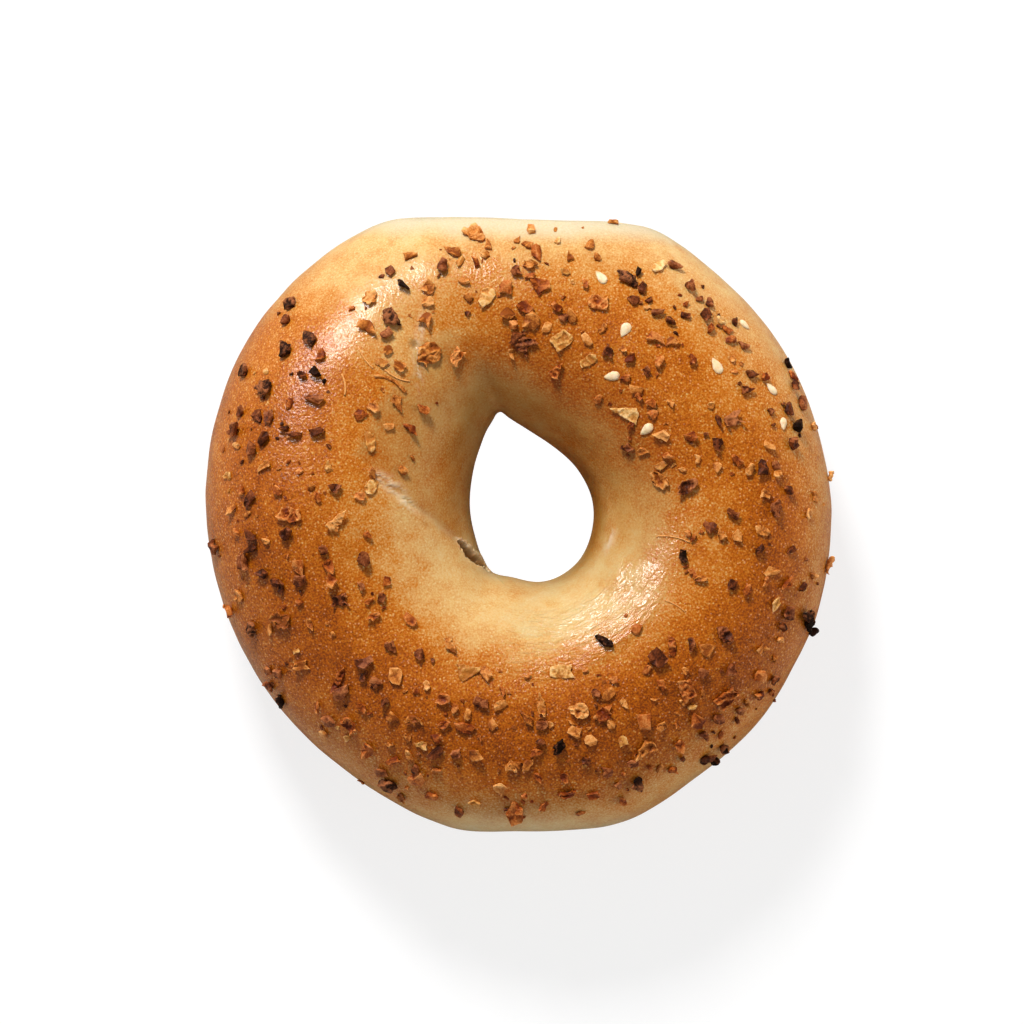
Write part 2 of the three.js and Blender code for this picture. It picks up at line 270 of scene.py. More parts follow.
def ramp(tree, share, stops):
    """A colour read from (place, (r, g, b)) stops by a share."""
    made = add(tree, "ShaderNodeValToRGB", {"Fac": share})
    while len(made.color_ramp.elements) < len(stops):
        made.color_ramp.elements.new(0.5)
    for element, (place, colour) in zip(made.color_ramp.elements, stops):
        element.position = place
        element.color = (*colour, 1)
    return made.outputs["Color"]


def mixed(tree, share, first, second, blend="MIX"):
    """Two colours mixed by a share."""
    made = tree.nodes.new("ShaderNodeMix")
    made.data_type = "RGBA"
    made.blend_type = blend
    for place, value in ((0, share), (6, first), (7, second)):
        if isinstance(value, bpy.types.NodeSocket):
            tree.links.new(value, made.inputs[place])
        else:
            made.inputs[place].default_value = value
    return made.outputs[2]


def sums(tree, kind, first, second, third=None):
    """The result of one sum on values or outputs."""
    feeds = {0: first, 1: second}
    if third is not None:
        feeds[2] = third
    return add(tree, "ShaderNodeMath", feeds, operation=kind).outputs[0]


def spread(tree, value, low, high, to_low=0.0, to_high=1.0):
    """A value moved from one range to another, held inside the new one."""
    feeds = {"Value": value, "From Min": low, "From Max": high, "To Min": to_low, "To Max": to_high}
    return add(tree, "ShaderNodeMapRange", feeds).outputs["Result"]


def read_point(tree, name):
    """The number stored at each point under a name."""
    return add(tree, "ShaderNodeAttribute", attribute_name=name).outputs["Fac"]


def fine_noise(tree, place, size_mm, detail=2.0, roughness=0.5, distortion=0.0):
    """Noise whose lumps are about so many millimetres across, from 0 to 1."""
    feeds = {"Vector": place, "Scale": 1000 / size_mm, "Detail": detail, "Roughness": roughness,
             "Distortion": distortion}
    return add(tree, "ShaderNodeTexNoise", feeds).outputs["Fac"]


def fine_cells(tree, place, size_mm):
    """Distance from the middle of the nearest of many cells about so many millimetres across."""
    feeds = {"Vector": place, "Scale": 1000 / size_mm}
    return add(tree, "ShaderNodeTexVoronoi", feeds).outputs["Distance"]


def new_material(name, **surface):
    """A material with one Principled surface. Returns the material, its tree and the surface node."""
    material = bpy.data.materials.new(name)
    material.use_nodes = True
    tree = material.node_tree
    shader = tree.nodes["Principled BSDF"]
    for socket, value in surface.items():
        shader.inputs[socket.replace("_", " ").title().replace("Ior", "IOR")].default_value = value
    return material, tree, shader


def baked_crust():
    """Thin glossy skin: straw where it stayed pale, amber to red-brown where it browned."""
    material, tree, shader = new_material(
        "baked_crust", subsurface_weight=0.12, subsurface_radius=(1.0, 0.42, 0.16),
        subsurface_scale=2 * MM, specular_ior_level=0.16, coat_roughness=0.17)
    place = add(tree, "ShaderNodeTexCoord").outputs["Object"]
    blotches = fine_noise(tree, place, 3.2, 3)
    speckle = fine_noise(tree, place, 0.34, 2)
    blisters = fine_cells(tree, place, 0.55)
    flecks = fine_cells(tree, place, 0.72)
    wrinkles = fine_noise(tree, place, 0.8, 3, 0.55, 0.5)

    # Long wrinkles that run round the hole, where the skin shrank back over the crown.
    middle = add(tree, "ShaderNodeVectorMath", {0: place, 1: (HOLE_MIDDLE.x * MM, HOLE_MIDDLE.y * MM, 0)},
                 operation="SUBTRACT").outputs["Vector"]
    split = add(tree, "ShaderNodeSeparateXYZ", {"Vector": middle}).outputs
    round_hole = sums(tree, "MULTIPLY", sums(tree, "ARCTAN2", split["Y"], split["X"]), 0.007)
    level = add(tree, "ShaderNodeCombineXYZ", {"X": split["X"], "Y": split["Y"]}).outputs["Vector"]
    radius = add(tree, "ShaderNodeVectorMath", {0: level}, operation="LENGTH").outputs["Value"]
    unrolled = add(tree, "ShaderNodeCombineXYZ", {"X": round_hole, "Y": radius, "Z": split["Z"]})
    creases = fine_noise(tree, unrolled.outputs["Vector"], 1.1, 3, 0.55, 0.6)
    creased = read_point(tree, "creased")
    creases = sums(tree, "MULTIPLY", creases, spread(tree, creased, 0.6, 1, 0, 5.5))

    # Browning sets the colour, broken up by blotches, fine speckle, paler starchy flecks and painted
    # glints.
    brown = read_point(tree, "browning")
    brown = sums(tree, "ADD", brown, spread(tree, blotches, 0.3, 0.7, -0.09, 0.09))
    crisp = spread(tree, brown, 0.25, 0.85, 0.35, 1.0)
    speckled = spread(tree, speckle, 0.3, 0.7, -0.28, 0.28)
    speckled = sums(tree, "SUBTRACT", speckled, spread(tree, flecks, 0.12, 0.30, 0.34, 0.0))
    brown = sums(tree, "ADD", brown, sums(tree, "MULTIPLY", speckled, crisp))
    brown = sums(tree, "MULTIPLY", brown, 1 / 1.25)
    colour = ramp(tree, brown, [
        (0.00, (0.67, 0.53, 0.27)), (0.24, (0.64, 0.39, 0.140)), (0.40, (0.58, 0.27, 0.070)),
        (0.56, (0.52, 0.168, 0.014)), (0.68, (0.45, 0.112, 0.003)), (0.80, (0.37, 0.082, 0.001)),
        (0.92, (0.28, 0.060, 0.002)), (1.00, (0.20, 0.040, 0.002))])
    # Pinkish-white flecks on the browned crown: pale starch grains, and painted glints of the gloss.
    starch_and_glints = spread(tree, flecks, 0.08, 0.30, 0.34, 0.0)
    starch_and_glints = sums(tree, "MULTIPLY", starch_and_glints, spread(tree, brown, 0.36, 0.60))
    starch_and_glints = sums(tree, "MULTIPLY", starch_and_glints, spread(tree, speckle, 0.42, 0.60, 0.15, 1.0))
    colour = mixed(tree, starch_and_glints, colour, (0.88, 0.56, 0.38, 1))
    # Painted shade darkens the slope and the low wall of the hole that face away from the light.
    hole_shade = mixed(tree, 1.0, colour, (0.56, 0.36, 0.05, 1), "MULTIPLY")
    colour = mixed(tree, read_point(tree, "painted_shade"), colour, hole_shade)
    cream = mixed(tree, spread(tree, speckle, 0.3, 0.7), (0.62, 0.51, 0.33, 1), (0.54, 0.44, 0.26, 1))
    pressed, scarred, torn = (read_point(tree, name) for name in ("pressed", "scarred", "torn"))
    colour = mixed(tree, pressed, colour, cream)
    colour = mixed(tree, sums(tree, "MULTIPLY", scarred, 0.55), colour, (0.70, 0.58, 0.42, 1))
    # Dark brown inside the tear and the pits: painted shade in the hollow.
    colour = mixed(tree, torn, colour, (0.26, 0.120, 0.030, 1))
    tree.links.new(colour, shader.inputs["Base Color"])

    # The pressed and scarred skin is rougher, and the glaze is thickest on the creased slope.
    rough = spread(tree, wrinkles, 0.3, 0.7, 0.34, 0.50)
    worn = sums(tree, "MAXIMUM", pressed, scarred)
    rough = sums(tree, "ADD", rough, sums(tree, "MULTIPLY", worn, 0.25))
    tree.links.new(rough, shader.inputs["Roughness"])
    glaze = spread(tree, creased, 0, 1, 0.6, 1.0)
    glaze = sums(tree, "MULTIPLY", glaze, spread(tree, torn, 0, 1, 1, 0.1))
    tree.links.new(glaze, shader.inputs["Coat Weight"])

    skin = sums(tree, "ADD", sums(tree, "MULTIPLY", speckle, 0.3), sums(tree, "MULTIPLY", wrinkles, 1.1))
    skin = sums(tree, "SUBTRACT", skin, sums(tree, "MULTIPLY", blisters, 0.45))
    crisp = sums(tree, "MAXIMUM", crisp, sums(tree, "MULTIPLY", pressed, 0.8))
    skin = sums(tree, "ADD", sums(tree, "MULTIPLY", skin, crisp), creases)
    bump = add(tree, "ShaderNodeBump", {"Height": skin, "Strength": 0.6, "Distance": 0.2 * MM})
    tree.links.new(bump.outputs["Normal"], shader.inputs["Normal"])
    tree.links.new(bump.outputs["Normal"], shader.inputs["Coat Normal"])
    return material


crust.data.materials.clear()
crust.data.materials.append(baked_crust())
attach(crust, "root")
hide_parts("dough_ring")


# ------------------------------------------------------------------ onion flakes
# Flakes of dried onion, scattered on the wet dough before it was baked. Each shrank in the oven,
# so it is thin, cupped and crinkled with paler rims, and it is stuck flat into the skin.
# The flakes run from tan through toasted red-brown to nearly burnt.
FLAKE_VOXEL = 0.16 * MM
WARP_SEED = 7
FLAKE_SHADES = ["tan", "tan", "toasted", "tan", "toasted", "tan", "tan", "dark", "toasted", "toasted",
                "tan", "tan", "tan", "toasted", "tan", "toasted", "toasted", "tan", "dark", "toasted",
                "dark", "tan", "dark", "toasted", "toasted", "dark", "tan", "toasted"]
FLAKE_LIGHTNESS = [  # within its shade, mostly from 0 to 1
    0.6, 0.2, 1.5, 0.9, 0.6, 0.85, -0.7, 0.1, 0.25, 0.3, -0.5, 0.35, 0.8, 0.2, 0.25, 0.4, 0.25, 0.2,
    0.25, 0.3, 1.6, 0.3, 0.9, 0.8, 0.5, 0.6, 1.0, 1.3]

noise.seed_set(WARP_SEED)  # unseeded, noise vectors come out differently in each run
crust_tree = BVHTree.FromPolygons([vertex.co for vertex in crust.data.vertices],
                                  [face.vertices for face in crust.data.polygons])


def ridged(spot):
    """Noise with sharp ridges, from about -1 in its hollows to 0.6 on its ridges."""
    return 0.6 - 3.0 * abs(noise.noise(spot))


def dried(skin, seed, flat=0.6, curl=0.55, crumple=0.34, ragged=0.32, lean=12, sink=0.2):
    """Warps a small piece as the oven did and beds it in the crust. Returns its rims, and painted light and
    shade for its crinkles and foot.
    """
    chance = random.Random(seed)
    drift = Vector([chance.uniform(-60, 60) for _ in range(3)])
    middle = sum((vertex.co for vertex in skin.verts), Vector()) / len(skin.verts)
    _, up, _, _ = crust_tree.find_nearest(middle)
    along = up.orthogonal().normalized()
    along.rotate(Matrix.Rotation(chance.uniform(0, math.tau), 3, up))
    across = up.cross(along)
    tilt = Matrix.Rotation(math.radians(chance.uniform(-lean, lean)), 3, along)
    curl *= chance.choice((1, 1, 1, -0.6)) * chance.uniform(0.6, 1.3)
    offsets = [(vertex.co - middle) / MM for vertex in skin.verts]
    reach = max((off - up * off.dot(up)).length for off in offsets)
    rims, relief_shading = [], []
    for vertex, off in zip(skin.verts, offsets):
        x, y, high = off.dot(along), off.dot(across), off.dot(up)
        out = math.hypot(x, y) / reach
        spot = Vector((x, y, 0.4 * high)) + drift
        crinkle = ridged(spot / 1.5) + 0.5 * ridged(spot / 0.7)
        torn = noise.noise(Vector((x, y, 0)) / (0.55 * reach) + drift) * 1.3 * out ** 2
        wander = noise.noise_vector(spot / 0.8) * (0.3 + out) * ragged
        high = high * flat + curl * ((x / reach) ** 2 + 0.3 * (y / reach) ** 2) + crumple * crinkle
        x, y = x * (1 + ragged * torn) + wander.x, y * (1 + ragged * torn) + wander.y
        warped = along * x + across * y + up * (high + 0.3 * wander.z)
        vertex.co = middle + (tilt @ warped) * MM
        rims.append(smoothstep(0.55, 1.0, out + 0.3 * noise.noise(spot / 0.6)))
        # Painted light on the ridges of the crinkles and painted shade in their hollows.
        relief_shading.append(min(1.0, max(0.0, 0.62 + 0.55 * crinkle)))
    heights = [(vertex.co - near).dot(face) for vertex in skin.verts
               for near, face, _, _ in (crust_tree.find_nearest(vertex.co),)]
    lowest = min(heights)
    for vertex in skin.verts:
        vertex.co -= up * (lowest + sink * MM)
    # Painted shade where the piece meets the crust.
    contact_shade = [smoothstep(0.45, 0.1, (height - lowest) / MM - sink) for height in heights]
    relief_shading = [tone * (1 - 0.6 * contact_dark) for tone, contact_dark in zip(relief_shading, contact_shade)]
    return rims, relief_shading


def baked_on(node, seed, batch=None, **drying):
    """A piece made from a packed topping: remeshed evenly, dried and bedded in the crust."""
    piece = as_object(node + "_baked", merged_copy(node))
    piece.data = settled(piece, "REMESH", mode="VOXEL", voxel_size=FLAKE_VOXEL)
    skin = bmesh.new()
    skin.from_mesh(piece.data)
    rims, relief_shading = dried(skin, seed, **drying)
    skin.to_mesh(piece.data)
    skin.free()
    piece.data.shade_smooth()
    point_values(piece, "rim", rims)
    point_values(piece, "tone", relief_shading)
    batch = random.Random(seed + 0.5).random() if batch is None else batch
    point_values(piece, "batch", [batch] * len(relief_shading))
    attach(piece, "root")
    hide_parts(node)
    return piece


def dried_finish(name, dark, middle, light, rim=0.45, varied=0.32, gloss=0.16, **surface):
    """A crinkled dry surface: painted shade in its creases and at its foot, painted light on its ridges,
    and paler rims.
    """
    material, tree, shader = new_material(name, specular_ior_level=gloss, **surface)
    place = add(tree, "ShaderNodeTexCoord").outputs["Object"]
    veins = fine_noise(tree, place, 0.38, 3, 0.65)
    tone = sums(tree, "ADD", read_point(tree, "tone"), spread(tree, veins, 0.3, 0.7, -0.36, 0.36))
    tone = sums(tree, "ADD", tone, spread(tree, read_point(tree, "batch"), -1, 2, -3 * varied, 3 * varied))
    tone = sums(tree, "ADD", tone, sums(tree, "MULTIPLY", read_point(tree, "rim"), rim))
    tone = sums(tree, "MULTIPLY", tone, 0.68)
    colour = ramp(tree, tone, [(0.08, dark), (0.42, middle), (0.95, light)])
    tree.links.new(colour, shader.inputs["Base Color"])
    bump = add(tree, "ShaderNodeBump", {"Height": veins, "Strength": 0.6, "Distance": 0.15 * MM})
    tree.links.new(bump.outputs["Normal"], shader.inputs["Normal"])
    return material


ONION_COLOURS = {  # in painted shade in the creases, between them, and in painted light on the ridges, as on the pale rims
    "tan": ((0.24, 0.055, 0.006), (0.53, 0.17, 0.026), (0.80, 0.40, 0.13)),
    "toasted": ((0.14, 0.020, 0.002), (0.38, 0.084, 0.009), (0.74, 0.29, 0.075)),
    "dark": ((0.045, 0.009, 0.002), (0.17, 0.036, 0.007), (0.46, 0.15, 0.045))}
onion_finishes = {shade: dried_finish("onion_" + shade, *colours, roughness=0.5)
                  for shade, colours in ONION_COLOURS.items()}
for number, (shade, lightness) in enumerate(zip(FLAKE_SHADES, FLAKE_LIGHTNESS), 1):
    flake = baked_on(f"onion_flake_{number}", 100 + number, batch=lightness)
    flake.data.materials.append(onion_finishes[shade])


# ------------------------------------------------------------------ onion shreds
# Fibres that split off the onion as it was cut: five fine bent ones, each a thin round thread
# laid on the skin, and one thicker bowed shred. They dried nearly straight, so they keep their
# bend and hardly crinkle.
FINE_STRANDS = [  # x, y and radius of the bend, then degrees of bend, turn, and thickness
    (-30.3, 24.2, 5.0, 44, 8, 0.36), (-26.9, 28.6, 9.0, 28, 215, 0.28),
    (-21.5, 25.4, 7.0, 40, 245, 0.30), (26.6, -2.2, 9.0, 38, 80, 0.26),
    (27.0, -14.0, 8.0, 28, 60, 0.22)]
STRAND_TONES = {"rim": 0.7, "tone": 0.6, "batch": 0.8}


def fine_strand(x, y, radius, bend, turn, thickness):
    """A bent fibre swept round an arc and laid on the crust."""
    skin = bmesh.new()
    upright = Matrix.Translation((radius * MM, 0, 0)) @ Matrix.Rotation(math.pi / 2, 4, "X")
    bmesh.ops.create_circle(skin, cap_ends=True, segments=6, radius=thickness / 2 * MM, matrix=upright)
    bmesh.ops.rotate(skin, matrix=Matrix.Rotation(math.radians(-bend / 2), 3, "Z"), verts=skin.verts)
    bmesh.ops.spin(skin, geom=skin.verts[:] + skin.edges[:] + skin.faces[:], axis=(0, 0, 1),
                   angle=math.radians(bend), steps=14)
    bmesh.ops.recalc_face_normals(skin, faces=skin.faces)
    bmesh.ops.translate(skin, vec=(-radius * MM, 0, 0), verts=skin.verts)
    bmesh.ops.rotate(skin, matrix=Matrix.Rotation(math.radians(turn), 3, "Z"), verts=skin.verts)
    for vertex in skin.verts:
        level = vertex.co.xy + Vector((x, y)) * MM
        under, up, _, _ = crust_tree.ray_cast(Vector((*level, 0.09)), Vector((0, 0, -1)))
        vertex.co = under + up * (vertex.co.z + 0.3 * thickness * MM)
    return skin


def gather(together, skin):
    """Moves a finished skin into the one that holds its like."""
    loose = bpy.data.meshes.new("loose")
    skin.to_mesh(loose)
    skin.free()
    together.from_mesh(loose)
    bpy.data.meshes.remove(loose)


fibres = bmesh.new()
for row in FINE_STRANDS:
    gather(fibres, fine_strand(*row))
fibres = as_object("fine_strands", fibres)
for name, value in STRAND_TONES.items():
    point_values(fibres, name, [value] * len(fibres.data.vertices))
fibres.data.materials.append(onion_finishes["tan"])
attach(fibres, "root")

strand = baked_on("onion_strand", 140, flat=0.9, curl=0.0, crumple=0.02, ragged=0.02, lean=0)
strand.data.materials.append(onion_finishes["tan"])


# ------------------------------------------------------------------ garlic chips
# Slices of dried garlic, paler and waxier than the onion. They are nearly flat, with a thin
# golden rim where they browned first, and they are stuck to the skin like the flakes.
GARLIC_LIGHTNESS = [0.5, 0.0, 0.9, 0.0, 1.3, 0.3, -0.3, 0.1, 0.5]
garlic_finish = dried_finish("garlic", (0.40, 0.13, 0.018), (0.62, 0.29, 0.070), (0.86, 0.56, 0.25),
                             roughness=0.42, subsurface_weight=0.1, subsurface_radius=(1.0, 0.5, 0.2),
                             subsurface_scale=0.8 * MM)
for number, lightness in enumerate(GARLIC_LIGHTNESS, 1):
    chip = baked_on(f"garlic_chip_{number}", 200 + number, lightness, flat=0.6, curl=0.35,
                    crumple=0.16, ragged=0.2)
    chip.data.materials.append(garlic_finish)


# ------------------------------------------------------------------ sesame seeds
# Hulled white sesame, each a plump flat drop. They hardly shrank, so they stay smooth and ivory
# with a faint golden toasting, and they sit half sunk in the skin.
def sesame_hull():
    """Smooth ivory hull, a little browner at the thin rim."""
    material, tree, shader = new_material("sesame_hull", roughness=0.36, subsurface_weight=0.15,
                                          subsurface_radius=(1.0, 0.6, 0.3), subsurface_scale=0.6 * MM)
    place = add(tree, "ShaderNodeTexCoord").outputs["Object"]
    clouds = fine_noise(tree, place, 0.9, 2)
    rim = sums(tree, "MULTIPLY", read_point(tree, "rim"), 0.5)
    tone = sums(tree, "ADD", spread(tree, clouds, 0.3, 0.7, 0.0, 0.5), rim)
    colour = ramp(tree, tone, [
        (0.1, (0.85, 0.68, 0.44)), (0.55, (0.75, 0.51, 0.26)), (1.0, (0.56, 0.28, 0.09))])
    tree.links.new(colour, shader.inputs["Base Color"])
    return material


hull = sesame_hull()
for number in range(1, 9):
    seed = baked_on(f"sesame_seed_{number}", 300 + number, flat=0.95, curl=0.0, crumple=0.03,
                    ragged=0.03, lean=4, sink=0.3)
    seed.data.materials.append(hull)


# ------------------------------------------------------------------ charred bits
# Crumbs of onion and garlic that caught in the oven: hard, nearly black, lumpy all over, and
# dull except for small glints. The longest three are rolled slivers that stand off the skin.
BROWNER_BITS = (5, 6, 7, 8, 10, 11, 12, 13)  # these stopped short of black
charred_finish = dried_finish("charred", (0.010, 0.004, 0.002), (0.036, 0.012, 0.006), (0.34, 0.11, 0.038),
                              rim=0.1, varied=0.42, gloss=0.06, roughness=0.5)
for number in range(1, 14):
    bit = baked_on(f"charred_bit_{number}", 400 + number, flat=0.9, curl=0.15, crumple=0.3, ragged=0.4,
                   batch=0.95 if number in BROWNER_BITS else 0.15)
    bit.data.materials.append(charred_finish)


# ------------------------------------------------------------------ topping crumbs
# What broke off the flakes in the jar and was scattered with them. Each crumb is a small angular
# chip laid on the skin and dried like its larger neighbours. Crumbs of one kind are one
# piece. Every place is x and y from the middle of the ring, in millimetres, like the sizes.
LARGE_CRUMBS = {  # x, y, length, width, and turn in degrees
    "tan": [(-15.5, 41.4, 3.3, 2.4, 50), (-21.4, 21.2, 3.2, 2.3, 0), (-21.2, 27.1, 2.9, 2.4, 30),
            (-22.1, -33.6, 2.6, 2.2, 0), (-1.5, -41.8, 2.8, 2.4, 0), (-20.6, -47.5, 3.0, 2.2, -40),
            (34.9, -2.0, 3.2, 1.4, 20), (14.3, 33.7, 2.8, 2.0, 10), (26.2, 31.5, 2.9, 1.9, 40),
            (1.4, 44.6, 4.0, 1.9, -10), (16.1, 52.3, 2.4, 1.3, 5), (-27.9, -45.5, 1.8, 1.2, 40)],
    "toasted": [(-19.0, 16.5, 3.2, 1.6, 60), (-15.5, -47.0, 3.2, 1.8, 10), (45.9, -10.4, 3.4, 2.0, -35),
                (25.7, 12.0, 2.9, 1.6, 30), (19.0, 28.6, 2.3, 2.0, 0), (8.0, -46.7, 4.6, 1.5, 5)],
    "dark": [(-34.2, -4.5, 2.8, 2.4, 20), (-47.8, -6.5, 3.0, 2.6, 0), (-44.4, -8.6, 2.9, 2.2, 30),
             (-41.4, -10.9, 3.2, 1.5, -50), (-22.6, -21.3, 2.6, 2.4, 0), (29.5, -20.8, 2.8, 1.3, 15),
             (36.7, -10.4, 2.8, 2.6, 0), (36.5, 1.9, 3.6, 2.4, 60), (34.0, 14.0, 2.7, 2.4, 0),
             (18.7, 13.3, 2.7, 1.4, 60), (29.2, 40.9, 3.2, 1.9, -45), (15.2, 29.9, 2.6, 1.8, 0),
             (26.4, 44.6, 2.9, 1.9, 20), (38.9, 23.2, 3.3, 2.2, 80), (44.1, 2.8, 3.4, 2.4, 30)],
    "charred": [(-40.4, 30.1, 3.0, 2.3, 50), (-20.3, 41.4, 2.6, 1.3, -50), (46.3, 27.8, 2.6, 1.8, 60),
                (33.6, -41.0, 2.2, 0.8, 20), (49.4, -15.6, 3.6, 2.2, -60), (51.6, -19.0, 2.6, 1.5, -40)],
    "pale": [(-33.2, 9.8, 3.0, 1.6, 55), (-7.8, -48.3, 2.4, 1.6, -20), (-24.0, 28.0, 2.2, 2.0, 0)]}
